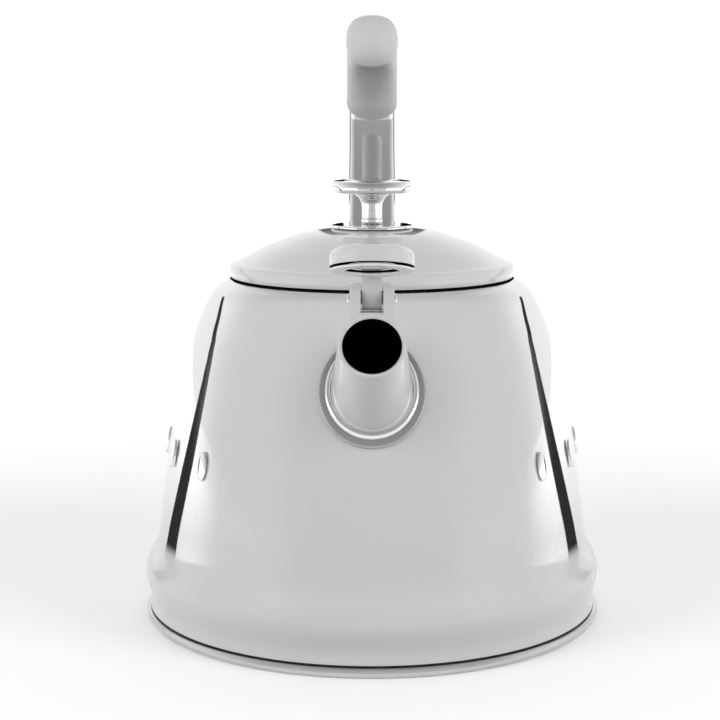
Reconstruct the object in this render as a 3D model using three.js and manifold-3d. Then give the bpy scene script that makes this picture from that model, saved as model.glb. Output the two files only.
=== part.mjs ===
// Stovetop whistling kettle, in millimetres, +Z up.
// The origin is the centre of the base, on the surface that the kettle stands on. The spout points to -Y.
import * as THREE from "three";
import { mergeVertices } from "three/addons/utils/BufferGeometryUtils.js";
import { ParametricGeometry } from "three/addons/geometries/ParametricGeometry.js";
import Module from "manifold-3d";

const wasm = await Module();
wasm.setup();

// ---------------------------------------------------------------- driving dimensions

const GAP = 0.35; // between pieces that rest on each other

const BASE_RADIUS = 100;
const BASE_RIM_TOP = 3.9;
const WALL = 1.2;
const FLOOR_BOTTOM = 4.3;
const MOUTH_RADIUS = 61.6;
const MOUTH_TOP = 147;

// Outer outline of the body from the seam at its base to its mouth: radius, height.
const BODY_OUTLINE = [
  [98.3, 4.7],
  [98.5, 10],
  [100, 19.5],
  [98.6, 25.2],
  [94.4, 34],
  [91.9, 52],
  [88.6, 75],
  [84.2, 100],
  [79, 121],
  [73.1, 135],
  [68, 142.8],
  [MOUTH_RADIUS, MOUTH_TOP],
];

const NECK_RADIUS = 57.4; // inside the neck ring
const NECK_BOTTOM = 133;

// Outer outline of the lid from its rolled edge to the flat under the knob: radius, height.
const LID_OUTLINE = [
  [61.2, 148],
  [62.1, 150.4],
  [60.8, 153.6],
  [58.6, 154.4],
  [54.9, 156.1],
  [44.7, 161.2],
  [30, 166.3],
  [17, 168.3],
];
const LID_LINER_BOTTOM = 142;

const ROSETTE_RADIUS = 17.8;
const POST_RADIUS = 4.35;
const POST_BOTTOM = 170.4;
const KNOB_BOTTOM = 183.3;
const KNOB_TOP = 189.4;
const KNOB_RADIUS = 17.9;

const SPOUT_LIFT = THREE.MathUtils.degToRad(32); // of the spout's axis above level
const SPOUT_ROOT = new THREE.Vector3(0, -81.84, 110.55); // where the axis meets the wall
const SPOUT_LENGTH = 45;
const SPOUT_ROOT_RADIUS = 16.3;
const SPOUT_MOUTH_RADIUS = 12.5;
const SPOUT_BORE_RADIUS = 11.06;
const FLANGE_RADIUS = 21;

const HINGE = new THREE.Vector3(0, -102.5, 149.5); // axis of the whistle cap's hinge, along X
const PIN_RADIUS = 2;
const PIN_HOLE_RADIUS = 2.1;
const EAR_OUTSIDE = 8.35;
const SLOT_HALF = 4.15;
const EAR_RADIUS = 6.1;

const CAP_TILT = THREE.MathUtils.degToRad(-13.8); // of the open cap, front edge up
const CAP_RADIUS = 15.5;
const CAP_HINGE_BACK = 22.09; // from the cap's centre back to the hinge
const CAP_HINGE_DOWN = 7.2; // from the cap's underside down to the hinge

const STEM_THICKNESS = 7;
const GRIP_FRONT_WIDTH = 21.8;
const GRIP_BACK_WIDTH = 25;
const GRIP_HEIGHT = 21.4;

// The handle's centre line starts with the foot, which lies along the back wall at these heights.
const FOOT_HEIGHTS = [96, 109, 121];
const FOOT_OFF_WALL = 5.9;

// Above the foot, the line of the stem and grip in the YZ plane, up to the grip's free end.
const HANDLE_LINE = [
  [86.6, 138],
  [94, 157],
  [101.5, 178],
  [107, 197],
  [109.5, 213],
  [106.5, 229],
  [95, 243],
  [75, 248.6],
  [40, 249.6],
  [15, 248.6],
  [-12, 247.2],
];

// ---------------------------------------------------------------- materials

const finishes = {
  enamel: { color: 0xe4e4e6, roughness: 0.12, metalness: 0 },
  grip_plastic: { color: 0xdcdcdc, roughness: 0.5, metalness: 0 },
  cap_plastic: { color: 0xe0e0e0, roughness: 0.3, metalness: 0 },
  chrome: { color: 0xc8c8ca, roughness: 0.06, metalness: 1 },
  steel: { color: 0xb0b0b2, roughness: 0.28, metalness: 1 },
  aluminium: { color: 0xc0c2c4, roughness: 0.45, metalness: 1 },
  silicone: { color: 0x3c3c3e, roughness: 0.7, metalness: 0 },
};

// ---------------------------------------------------------------- geometry helpers

// Merges shared vertices and leaves out the triangles that this folds flat.
function welded(geometry) {
  const plain = geometry.clone();
  plain.deleteAttribute("normal");
  plain.deleteAttribute("uv");
  const merged = mergeVertices(plain, 1e-4);
  const kept = [];
  const corners = merged.index.array;
  for (let i = 0; i < corners.length; i += 3) {
    const [a, b, c] = corners.slice(i, i + 3);
    if (a !== b && b !== c && c !== a) kept.push(a, b, c);
  }
  merged.setIndex(kept);
  return merged;
}

function solidOf(geometry) {
  const merged = welded(geometry);
  return new wasm.Manifold(
    new wasm.Mesh({
      numProp: 3,
      vertProperties: merged.attributes.position.array,
      triVerts: new Uint32Array(merged.index.array),
    }),
  );
}

function geometryOf(solid) {
  const mesh = solid.getMesh();
  const geometry = new THREE.BufferGeometry();
  geometry.setAttribute("position", new THREE.BufferAttribute(mesh.vertProperties, 3));
  geometry.setIndex(new THREE.BufferAttribute(mesh.triVerts, 1));
  geometry.computeVertexNormals();
  return geometry;
}

function cut(geometry, ...tools) {
  return geometryOf(tools.reduce((rest, tool) => rest.subtract(solidOf(tool)), solidOf(geometry)));
}

// Revolves an outline of [radius, height] about Z. It starts and ends on the axis, or closes on itself.
function revolve(outline, segments) {
  const points = outline.map(([radius, height]) => new THREE.Vector2(radius, height));
  const onAxis = outline[0][0] === 0 && outline.at(-1)[0] === 0;
  if (!onAxis) points.push(points[0].clone());
  return welded(new THREE.LatheGeometry(points, segments).rotateX(Math.PI / 2));
}

function smooth(outline, count) {
  const curve = new THREE.SplineCurve(outline.map(([x, y]) => new THREE.Vector2(x, y)));
  return curve.getPoints(count).map((point) => [point.x, point.y]);
}

// The same outline, moved inwards by a wall thickness, in reverse order.
function insideOf(outline, thickness) {
  const inner = outline.map(([x, y], i) => {
    const [xa, ya] = outline[Math.max(i - 1, 0)];
    const [xb, yb] = outline[Math.min(i + 1, outline.length - 1)];
    const length = Math.hypot(xb - xa, yb - ya);
    return [x - (thickness * (yb - ya)) / length, y + (thickness * (xb - xa)) / length];
  });
  return inner.reverse();
}

function cylinder(radius, length, segments = 16) {
  return new THREE.CylinderGeometry(radius, radius, length, segments);
}

// A plain round rod, or a screw shank, along Z from one height to another.
function rod(radius, bottom, top, segments = 12) {
  return cylinder(radius, top - bottom, segments).rotateX(Math.PI / 2).translate(0, 0, (top + bottom) / 2);
}

// A screw or bolt along Z: its head starts at height 0 and the shank runs up from it.
function screw(headRadius, headHeight, shankRadius, length) {
  return revolve(
    [
      [0, 0],
      [headRadius * 0.8, 0],
      [headRadius, headHeight * 0.35],
      [headRadius, headHeight],
      [shankRadius, headHeight],
      [shankRadius, length],
      [0, length],
    ],
    12,
  );
}

// Extrudes a closed outline of [y, z] points along X, centred on x = 0.
function slabAcross(outline, width) {
  const shape = new THREE.Shape(outline.map(([y, z]) => new THREE.Vector2(y, z)));
  const slab = new THREE.ExtrudeGeometry(shape, { depth: width, bevelEnabled: false });
  // The shape's x and y become Y and Z, and its depth becomes X.
  const turn = new THREE.Matrix4().makeBasis(
    new THREE.Vector3(0, 1, 0),
    new THREE.Vector3(0, 0, 1),
    new THREE.Vector3(1, 0, 0),
  );
  return slab.translate(0, 0, -width / 2).applyMatrix4(turn);
}

// Points on an arc about a centre, angles in degrees, for outlines of [a, b].
function arc([a, b], radius, from, to, steps) {
  return Array.from({ length: steps + 1 }, (_, i) => {
    const angle = THREE.MathUtils.degToRad(from + ((to - from) * i) / steps);
    return [a + radius * Math.cos(angle), b + radius * Math.sin(angle)];
  });
}

// ---------------------------------------------------------------- body

const bodyCurve = smooth(BODY_OUTLINE, 13);

// Radius of the body's outer wall at a height, along the straight runs between the curve's points.
function wallRadius(height) {
  const above = bodyCurve.findIndex(([, z]) => z >= height);
  const [r1, z1] = bodyCurve[above];
  const [r0, z0] = bodyCurve[above - 1];
  return r0 + ((r1 - r0) * (height - z0)) / (z1 - z0);
}

// Outward normal of the wall in the plane of radius and height.
function wallNormal(height) {
  const slope = wallRadius(height + 1) - wallRadius(height - 1);
  const length = Math.hypot(2, slope);
  return [2 / length, -slope / length];
}

// A point off the wall, x to the side, on the spout's side (-1) or the handle's side (1).
function offWall(x, height, away, side) {
  const [out, up] = wallNormal(height);
  const radius = wallRadius(height) + out * away;
  return new THREE.Vector3(x, side * Math.sqrt(radius * radius - x * x), height + up * away);
}

// The hole through the wall for the spout, along the spout's axis.
function spoutCutter() {
  return placeAlongSpout(rod(SPOUT_ROOT_RADIUS + 0.6, -14, 14, 32));
}

// The bolts that hold the handle's foot run square through the back wall at these heights.
const BOLT_HEIGHTS = [100.5, 115.5];
const BOLT_RADIUS = 2;

// Turns a piece made along +Z to point inwards, square through the back wall. Its zero is the outer face.
function placeThroughBack(geometry, height) {
  const [out, up] = wallNormal(height);
  return geometry.rotateX(Math.atan2(out, -up)).translate(0, wallRadius(height), height);
}

function boltHole(height) {
  return placeThroughBack(rod(BOLT_RADIUS + GAP, -14, 14), height);
}

function bodyShell() {
  const lip = [MOUTH_RADIUS - 2.2, MOUTH_TOP + 0.1];
  const outside = [...bodyCurve, lip];
  const floorTop = FLOOR_BOTTOM + WALL;
  const inside = insideOf(outside, WALL).filter(([, z]) => z > floorTop + 1);
  const outline = [
    [0, FLOOR_BOTTOM],
    [95.6, FLOOR_BOTTOM],
    ...outside,
    ...inside,
    [95.8, floorTop],
    [0, floorTop],
  ];
  return cut(revolve(outline, 48), spoutCutter(), ...BOLT_HEIGHTS.map(boltHole));
}

function basePan() {
  return revolve(
    [
      [0, 0],
      [98.4, 0],
      [99.6, 0.5],
      [BASE_RADIUS, 1.8],
      [99.4, 3.3],
      [98.2, BASE_RIM_TOP],
      [97.2, BASE_RIM_TOP - 0.3],
      [96.8, 1.1],
      [0, 1.1],
    ],
    48,
  );
}

function heatSpreader() {
  return revolve([[0, 1.45], [94, 1.45], [94, FLOOR_BOTTOM - GAP], [0, FLOOR_BOTTOM - GAP]], 40);
}

function neckRing() {
  return revolve(
    [
      [NECK_RADIUS, NECK_BOTTOM],
      [NECK_RADIUS + 1, NECK_BOTTOM],
      [NECK_RADIUS + 1, MOUTH_TOP + 0.4],
      [NECK_RADIUS + 2.7, MOUTH_TOP + 0.4],
      [NECK_RADIUS + 2.7, MOUTH_TOP + 1.1],
      [NECK_RADIUS, MOUTH_TOP + 1.1],
    ],
    40,
  );
}

// Plain upright oval studs on the sides of the body, four to a side, set by their angle from the spout.
const STUD_ANGLES = [51, 70, 89, 108];
const STUD_HEIGHT = 75;

function sideStud(angle) {
  const outline = arc([0, 0], 1, 0, 330, 11).map(([x, y]) => new THREE.Vector2(2.6 * x, 6 * y));
  const stud = new THREE.ExtrudeGeometry(new THREE.Shape(outline), { depth: 1, bevelEnabled: false });
  const [out, up] = wallNormal(STUD_HEIGHT);
  // The stud faces along the wall's normal, then turns about the kettle's axis.
  stud.rotateX(Math.atan2(out, up));
  stud.translate(0, -wallRadius(STUD_HEIGHT) - GAP * out, STUD_HEIGHT + GAP * up);
  return stud.rotateZ(THREE.MathUtils.degToRad(angle));
}

// ---------------------------------------------------------------- lid and knob

function lidDome() {
  const outside = smooth(LID_OUTLINE, 9);
  const inside = insideOf(outside, 1.1);
  const hole = 2.7;
  return revolve([...outside, [hole, 168.3], [hole, 167.2], ...inside], 40);
}

function lidLiner() {
  const bottom = LID_LINER_BOTTOM;
  const seat = MOUTH_TOP + 1.5;
  return revolve(
    [
      [2.7, bottom],
      [53.2, bottom],
      [54.6, bottom + 1.4],
      [54.6, seat],
      [59, seat],
      [59, seat + 0.8],
      [53.7, seat + 0.8],
      [53.7, bottom + 1.8],
      [52.8, bottom + 0.9],
      [2.7, bottom + 0.9],
    ],
    36,
  );
}

function lidGasket() {
  return revolve([[54.95, 143.6], [56.9, 145], [56.9, 146], [54.95, 147.2]], 36);
}

function rosette() {
  return revolve(
    [
      [2.7, 168.65],
      [ROSETTE_RADIUS - 0.5, 168.65],
      [ROSETTE_RADIUS, 169.1],
      [ROSETTE_RADIUS - 1.2, 169.8],
      [6, 170.05],
      [2.7, 170.05],
    ],
    24,
  );
}

// The post has a blind hole for the knob screw from below and a stud on top for the disc.
function knobPost() {
  const hole = 2.4;
  const holeTop = 179.5;
  const stud = 2.6;
  const shoulder = KNOB_BOTTOM - GAP;
  return revolve(
    [
      [0, holeTop],
      [hole, holeTop],
      [hole, POST_BOTTOM],
      [4.5, POST_BOTTOM],
      [4.5, 172.2],
      [4.05, 172.5],
      [POST_RADIUS, 172.9],
      [POST_RADIUS, 177.2],
      [4.9, 180],
      [6.1, 182],
      [7.8, shoulder],
      [stud, shoulder],
      [stud, 187],
      [0, 187],
    ],
    20,
  );
}

function knobDisc() {
  return revolve(
    [
      [0, 187.5],
      [3, 187.5],
      [3, KNOB_BOTTOM],
      [15.4, KNOB_BOTTOM],
      ...arc([KNOB_RADIUS - 2.7, KNOB_BOTTOM + 2.7], 2.7, -60, 60, 4),
      [14, KNOB_TOP - 0.25],
      [7, KNOB_TOP],
      [0, KNOB_TOP],
    ],
    24,
  );
}

function knobWasher() {
  return revolve([[2.7, 140.7], [6, 140.7], [6, 141.6], [2.7, 141.6]], 20);
}

function knobScrew() {
  return screw(4.4, 2, 1.95, 40.6).translate(0, 0, 138.3);
}

// ---------------------------------------------------------------- spout

// Turns a piece made along +Z to lie along the spout's axis, from the wall outwards.
function placeAlongSpout(geometry) {
  return geometry.rotateX(Math.PI / 2 - SPOUT_LIFT).translate(SPOUT_ROOT.x, SPOUT_ROOT.y, SPOUT_ROOT.z);
}

function spoutTube() {
  const shrink = (SPOUT_ROOT_RADIUS - SPOUT_MOUTH_RADIUS) / SPOUT_LENGTH;
  const inner = -9;
  return placeAlongSpout(
    revolve(
      [
        [SPOUT_ROOT_RADIUS - 1.4, inner],
        [SPOUT_ROOT_RADIUS, inner],
        [SPOUT_ROOT_RADIUS, 0],
        [SPOUT_ROOT_RADIUS - shrink * 22, 22],
        [SPOUT_MOUTH_RADIUS, SPOUT_LENGTH - 0.9],
        [SPOUT_MOUTH_RADIUS - 0.3, SPOUT_LENGTH],
        [SPOUT_BORE_RADIUS, SPOUT_LENGTH],
        [SPOUT_ROOT_RADIUS - 1.4, 0],
      ],
      32,
    ),
  );
}

// A ring around the spout that follows the wall: a section of [distance from the spout's axis, height off
// the wall]. Each point is moved up or down the wall until it is at its distance from the axis.
function ringOnWall(section, segments) {
  const square = new THREE.Vector3(0, Math.sin(SPOUT_LIFT), Math.cos(SPOUT_LIFT));
  const surface = (u, v, target) => {
    const angle = (2 * Math.PI * (Math.round(u * segments) % segments)) / segments;
    const [distance, away] = section[Math.round(v * section.length) % section.length];
    const across = distance * Math.cos(angle);
    const above = distance * Math.sin(angle);
    let height = SPOUT_ROOT.z + above;
    for (let i = 0; i < 6; i++) {
      target.copy(offWall(across, height, away, -1));
      height += above - target.clone().sub(SPOUT_ROOT).dot(square);
    }
  };
  return welded(new ParametricGeometry(surface, segments, section.length));
}

function spoutFlange() {
  const inner = SPOUT_ROOT_RADIUS + 1.2;
  const outer = FLANGE_RADIUS - 0.5;
  return ringOnWall([[inner, 0.4], [outer, 0.4], [FLANGE_RADIUS, 0.9], [outer, 1.5], [inner, 1.7]], 32);
}

function spoutBead() {
  return ringOnWall(arc([SPOUT_ROOT_RADIUS + 1.6, 2.95], 0.9, 0, 288, 4), 32);
}

function spoutSeal() {
  const inner = SPOUT_ROOT_RADIUS + 1;
  return ringOnWall([[inner, -2.5], [20, -2.5], [20, -1.7], [inner, -1.7]], 24);
}

function spoutLockRing() {
  const inner = SPOUT_ROOT_RADIUS + 1;
  return ringOnWall([[inner, -5], [20.4, -5], [20.4, -2.9], [inner, -2.9]], 24);
}

// ---------------------------------------------------------------- whistle hinge and cap

// A hinge bracket with two ears. Its foot straddles the spout just behind the mouth.
function whistleBracket() {
  const { y, z } = HINGE;
  const side = [
    ...arc([y, z], EAR_RADIUS, 0, 180, 8),
    [y - EAR_RADIUS - 0.7, z - 4],
    [y - EAR_RADIUS - 0.7, z - 16],
    [y + 9.5, z - 22],
    [y + 9.5, z - 10],
  ].reverse();
  const block = slabAcross(side, 2 * EAR_OUTSIDE);
  const slotFloor = z - 4.5;
  const slot = slabAcross([[y + 12, slotFloor], [y + 12, z + 12], [y - 12, z + 12], [y - 12, slotFloor]], 2 * SLOT_HALF);
  const spout = placeAlongSpout(
    new THREE.CylinderGeometry(SPOUT_MOUTH_RADIUS + GAP, SPOUT_ROOT_RADIUS + GAP, SPOUT_LENGTH, 32)
      .rotateX(Math.PI / 2)
      .translate(0, 0, SPOUT_LENGTH / 2),
  );
  const hole = acrossHinge(cylinder(PIN_HOLE_RADIUS, 30, 20));
  return cut(block, slot, spout, hole);
}

// Turns a piece made along Y to lie along the hinge's axis.
function acrossHinge(geometry) {
  return geometry.rotateZ(Math.PI / 2).translate(HINGE.x, HINGE.y, HINGE.z);
}

function hingePin() {
  const half = EAR_OUTSIDE + 1;
  const outline = [[0, -half], [1.5, -half], [PIN_RADIUS, 0.5 - half], [PIN_RADIUS, half - 0.5], [1.5, half], [0, half]];
  const points = outline.map(([radius, along]) => new THREE.Vector2(radius, along));
  return acrossHinge(new THREE.LatheGeometry(points, 20));
}

// The cap's pieces are made about the centre of its underside, +Z out of its top and +Y towards the hinge.
const CAP_SCREW_HEIGHT = 4.4;
const CAP_SHELL_BOTTOM = 1.7;
const CAP_TOP = 8.5;

function capShell() {
  const inner = CAP_TOP - 1.6;
  const outline = [
    [0, inner],
    [7, inner],
    ...arc([CAP_RADIUS - 4.4, inner - 2.9], 2.9, 80, 0, 3),
    [CAP_RADIUS - 1.5, CAP_SHELL_BOTTOM],
    [CAP_RADIUS, CAP_SHELL_BOTTOM],
    ...arc([CAP_RADIUS - 3.4, CAP_TOP - 3.5], 3.4, 0, 80, 4),
    [7, CAP_TOP - 0.05],
    [0, CAP_TOP],
  ];
  const screwHole = rod(1.3, -5, 5).rotateX(Math.PI / 2).translate(0, CAP_RADIUS, CAP_SCREW_HEIGHT);
  return cut(revolve(outline, 24), screwHole);
}

function capRing() {
  const bore = 9.9;
  return revolve(
    [
      [bore, 0],
      [CAP_RADIUS - 0.3, 0],
      [CAP_RADIUS + 0.1, 0.3],
      [CAP_RADIUS + 0.1, 0.6],
      [CAP_RADIUS - 0.3, 0.8],
      [bore, 0.8],
    ],
    28,
  );
}

// The whistle is a chamber between two thin plates, each with a small hole in its middle.
function whistleCup() {
  const hole = 1.6;
  return revolve(
    [
      [hole, 1.6],
      [9.2, 1.6],
      [9.5, 1.9],
      [9.5, 5.6],
      [8.8, 5.6],
      [8.8, 2.4],
      [hole, 2.4],
    ],
    24,
  );
}

function whistlePlate() {
  return revolve([[1.6, 4.2], [8.4, 4.2], [8.4, 4.9], [1.6, 4.9]], 24);
}

function capDisc() {
  const bottom = CAP_TOP + GAP;
  return revolve([[0, bottom], [7.4, bottom], [7.6, bottom + 0.3], [7, bottom + 0.6], [0, bottom + 0.8]], 24);
}

// The arm turns on the hinge pin and carries the cap against a curved face behind it.
function capArm() {
  const eye = [CAP_HINGE_BACK, -CAP_HINGE_DOWN];
  const side = [
    ...arc(eye, 4.1, -125, 35, 6),
    [CAP_HINGE_BACK - 1.2, 1],
    [CAP_HINGE_BACK - 1.6, 7.6],
    [14, 7.6],
    [14, -0.6],
    [16.6, -4.4],
  ];
  const cap = rod(CAP_RADIUS + 0.5, -20, 20, 28);
  const pinHole = cylinder(PIN_HOLE_RADIUS, 12, 20).rotateZ(Math.PI / 2).translate(0, ...eye);
  const screwHole = rod(1.3, -8, 8).rotateX(Math.PI / 2).translate(0, 18, CAP_SCREW_HEIGHT);
  return cut(slabAcross(side, 7.5), cap, pinHole, screwHole);
}

function capScrew() {
  return screw(2, 1.2, 0.95, 8.2).rotateX(Math.PI / 2).translate(0, CAP_HINGE_BACK + 0.2, CAP_SCREW_HEIGHT);
}

// ---------------------------------------------------------------- handle

const footPoints = FOOT_HEIGHTS.map((height) => offWall(0, height, FOOT_OFF_WALL, 1));
const handleCurve = new THREE.CatmullRomCurve3([
  ...footPoints,
  ...HANDLE_LINE.map(([y, z]) => new THREE.Vector3(0, y, z)),
]);

// The share of the handle's line, from the foot, at which it first reaches a height.
function shareAtHeight(height) {
  let share = 0;
  while (handleCurve.getPointAt(share).z < height) share += 0.0025;
  return share;
}

const GRIP_START = shareAtHeight(212.5);
const TANG_START = shareAtHeight(224);
const TANG_END = 0.94;

// A solid along the handle's line. Each slice is [share of the line, half width, half thickness], the first
// and last slices close to a point, and a section is a rounded rectangle, squarer with a higher power.
function barAlongHandle(slices, power, around) {
  const surface = (u, v, target) => {
    const [share, halfWidth, halfThickness] = slices[Math.round(u * (slices.length - 1))];
    const centre = handleCurve.getPointAt(share);
    const tangent = handleCurve.getTangentAt(share);
    const angle = (2 * Math.PI * (Math.round(v * around) % around)) / around;
    const cos = Math.cos(angle);
    const sin = Math.sin(angle);
    const across = halfWidth * Math.sign(cos) * Math.abs(cos) ** (2 / power);
    const off = halfThickness * Math.sign(sin) * Math.abs(sin) ** (2 / power);
    target.set(across, centre.y - off * tangent.z, centre.z + off * tangent.y);
  };
  return welded(new ParametricGeometry(surface, slices.length - 1, around));
}

// Slices from one share of the line to another, with sizes from a function of the share.
function evenSlices(from, to, count, size) {
  return Array.from({ length: count + 1 }, (_, i) => {
    const share = from + ((to - from) * i) / count;
    return [share, ...size(share)];
  });
}

// The stem's strap is wider at its foot. Above it, a narrower tang runs on inside the grip.
function stemSlices(extra) {
  const strap = (share) => {
    const rise = share / TANG_START;
    return [12.1 - 1.2 * rise + extra, STEM_THICKNESS / 2 + extra];
  };
  const tang = () => [6 + extra, 2.5 + extra];
  return [
    [0, 0, 0],
    ...evenSlices(0, TANG_START, 11, strap),
    ...evenSlices(TANG_START, TANG_END, 8, tang),
    [TANG_END + extra / 500, 0, 0],
  ];
}

const GRIP_SCREWS = [62, 8]; // how far back each grip screw is

// The height of the handle's line at a distance back, along the level run of the grip.
function lineHeight(y) {
  let share = 0.99;
  while (handleCurve.getPointAt(share).y < y) share -= 0.0025;
  return handleCurve.getPointAt(share).z;
}

function handleStem() {
  const strap = barAlongHandle(stemSlices(0), 5, 12);
  const screwHoles = GRIP_SCREWS.map((y) => rod(1.6, -6, 6).translate(0, y, lineHeight(y)));
  return cut(strap, ...BOLT_HEIGHTS.map(boltHole), ...screwHoles);
}

// The grip tapers towards its free end, and both of its ends are domed.
const DOME = 0.065; // length of each dome, as a share of the grip

function gripSlices() {
  const size = (share) => {
    const along = (share - GRIP_START) / (1 - GRIP_START);
    const width = THREE.MathUtils.lerp(GRIP_BACK_WIDTH, GRIP_FRONT_WIDTH, along);
    const open = THREE.MathUtils.clamp(Math.min(along, 1 - along) / DOME, 0, 1);
    const dome = Math.sqrt(open * (2 - open));
    return [(width / 2) * dome, (GRIP_HEIGHT / 2) * dome];
  };
  const share = (along) => THREE.MathUtils.lerp(GRIP_START, 1, along);
  const back = evenSlices(share(0), share(DOME), 4, size);
  const middle = evenSlices(share(DOME), share(1 - DOME), 11, size);
  const front = evenSlices(share(1 - DOME), share(1), 4, size);
  return [...back, ...middle.slice(1), ...front.slice(1)];
}

function handleGrip() {
  const channel = barAlongHandle(stemSlices(GAP), 5, 12);
  const screwHoles = GRIP_SCREWS.flatMap((y) => [
    rod(1.6, -20, 0).translate(0, y, lineHeight(y)),
    rod(3.2, -20, -7).translate(0, y, lineHeight(y)),
  ]);
  return cut(barAlongHandle(gripSlices(), 2.5, 16), channel, ...screwHoles);
}

function gripScrew(y) {
  return screw(2.7, 1.9, 1.2, 10.5).translate(0, y, lineHeight(y) - 9.4);
}

// A plate that follows the back wall between two distances off it, under the handle's foot.
function plateOnBack(near, far, halfWidth, low, high) {
  const steps = 6;
  const off = (away) => Array.from({ length: steps + 1 }, (_, i) => {
    const point = offWall(0, THREE.MathUtils.lerp(low - 3, high + 3, i / steps), away, 1);
    return [point.y, point.z];
  });
  const ring = solidOf(revolve([...off(far), ...off(near).reverse()], 48));
  const block = new THREE.BoxGeometry(2 * halfWidth, 40, high - low);
  block.translate(0, wallRadius((low + high) / 2), (low + high) / 2);
  const holes = BOLT_HEIGHTS.map((height) => solidOf(boltHole(height)));
  return geometryOf(holes.reduce((rest, hole) => rest.subtract(hole), ring.intersect(solidOf(block))));
}

function handleSeal() {
  return plateOnBack(0.5, 1.6, 10, 95, 121);
}

function backingPlate() {
  return plateOnBack(-3.1, -1.6, 9, 94, 122);
}

function handleBolt(height) {
  const headHeight = 2.4;
  const headStart = FOOT_OFF_WALL + STEM_THICKNESS / 2 + GAP + headHeight;
  return placeThroughBack(screw(4.2, headHeight, BOLT_RADIUS, headStart + 7.4).translate(0, 0, -headStart), height);
}

function handleNut(height) {
  const nut = revolve([[BOLT_RADIUS + GAP, 3.6], [4.4, 3.6], [4.4, 6.6], [BOLT_RADIUS + GAP, 6.6]], 6);
  return placeThroughBack(nut, height);
}

// ---------------------------------------------------------------- assembly

const kettle = new THREE.Group();

function addPiece(name, geometry, finish, parent = kettle) {
  const mesh = new THREE.Mesh(geometry, new THREE.MeshStandardMaterial(finishes[finish]));
  mesh.name = name;
  parent.add(mesh);
}

function addBody() {
  addPiece("body_shell", bodyShell(), "enamel");
  addPiece("base_pan", basePan(), "steel");
  addPiece("heat_spreader_disc", heatSpreader(), "aluminium");
  addPiece("neck_ring", neckRing(), "steel");
  STUD_ANGLES.forEach((angle, i) => {
    addPiece(`side_stud_right_${i + 1}`, sideStud(angle), "chrome");
    addPiece(`side_stud_left_${i + 1}`, sideStud(-angle), "chrome");
  });
}

function addLid() {
  addPiece("lid_dome", lidDome(), "enamel");
  addPiece("lid_liner", lidLiner(), "steel");
  addPiece("lid_gasket", lidGasket(), "silicone");
  addPiece("knob_rosette", rosette(), "chrome");
  addPiece("knob_post", knobPost(), "chrome");
  addPiece("knob_disc", knobDisc(), "chrome");
  addPiece("knob_washer", knobWasher(), "steel");
  addPiece("knob_screw", knobScrew(), "steel");
}

function addSpout() {
  addPiece("spout_tube", spoutTube(), "enamel");
  addPiece("spout_flange", spoutFlange(), "steel");
  addPiece("spout_bead_ring", spoutBead(), "chrome");
  addPiece("spout_seal", spoutSeal(), "silicone");
  addPiece("spout_lock_ring", spoutLockRing(), "steel");
  addPiece("whistle_bracket", whistleBracket(), "enamel");
  addPiece("hinge_pin", hingePin(), "chrome");
}

function addWhistleCap() {
  const cap = new THREE.Group();
  const across = new THREE.Vector3(1, 0, 0);
  const up = new THREE.Vector3(0, 0, 1).applyAxisAngle(across, CAP_TILT);
  const back = new THREE.Vector3(0, 1, 0).applyAxisAngle(across, CAP_TILT);
  cap.position.copy(HINGE).addScaledVector(up, CAP_HINGE_DOWN).addScaledVector(back, -CAP_HINGE_BACK);
  cap.rotation.x = CAP_TILT;
  addPiece("cap_shell", capShell(), "cap_plastic", cap);
  addPiece("cap_ring", capRing(), "cap_plastic", cap);
  addPiece("cap_disc", capDisc(), "chrome", cap);
  addPiece("cap_arm", capArm(), "cap_plastic", cap);
  addPiece("cap_screw", capScrew(), "steel", cap);
  addPiece("whistle_cup", whistleCup(), "chrome", cap);
  addPiece("whistle_plate", whistlePlate(), "steel", cap);
  kettle.add(cap);
}

function addHandle() {
  addPiece("handle_stem", handleStem(), "chrome");
  addPiece("handle_grip", handleGrip(), "grip_plastic");
  addPiece("handle_seal", handleSeal(), "silicone");
  addPiece("handle_backing_plate", backingPlate(), "steel");
  ["rear", "front"].forEach((place, i) => addPiece(`grip_screw_${place}`, gripScrew(GRIP_SCREWS[i]), "steel"));
  ["lower", "upper"].forEach((place, i) => {
    addPiece(`handle_bolt_${place}`, handleBolt(BOLT_HEIGHTS[i]), "chrome");
    addPiece(`handle_nut_${place}`, handleNut(BOLT_HEIGHTS[i]), "steel");
  });
}

addBody();
addLid();
addSpout();
addWhistleCap();
addHandle();

export default kettle;
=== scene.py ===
"""Stovetop whistling kettle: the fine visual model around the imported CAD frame, in metres.

Outlines are written in millimetres, in the same frame as the CAD, and scaled by MM."""

import math

import bmesh
import bpy
from mathutils import Matrix, Vector


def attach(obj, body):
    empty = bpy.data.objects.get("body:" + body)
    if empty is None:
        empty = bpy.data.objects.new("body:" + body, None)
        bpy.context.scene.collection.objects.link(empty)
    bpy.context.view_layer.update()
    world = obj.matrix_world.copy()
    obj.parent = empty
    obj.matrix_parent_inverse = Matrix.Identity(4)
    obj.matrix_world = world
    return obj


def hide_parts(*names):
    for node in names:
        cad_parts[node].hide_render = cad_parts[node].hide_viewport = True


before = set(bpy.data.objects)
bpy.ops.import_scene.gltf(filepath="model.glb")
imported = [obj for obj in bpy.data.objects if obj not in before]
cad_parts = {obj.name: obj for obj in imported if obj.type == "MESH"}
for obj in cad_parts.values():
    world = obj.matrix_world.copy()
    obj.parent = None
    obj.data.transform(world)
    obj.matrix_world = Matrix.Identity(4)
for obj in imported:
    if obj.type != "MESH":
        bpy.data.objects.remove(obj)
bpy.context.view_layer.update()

MM = 0.001
BODY, LID, CAP = "kettle_body", "lid", "whistle_cap"

# ------------------------------------------------------------------ dimensions, millimetres

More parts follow.
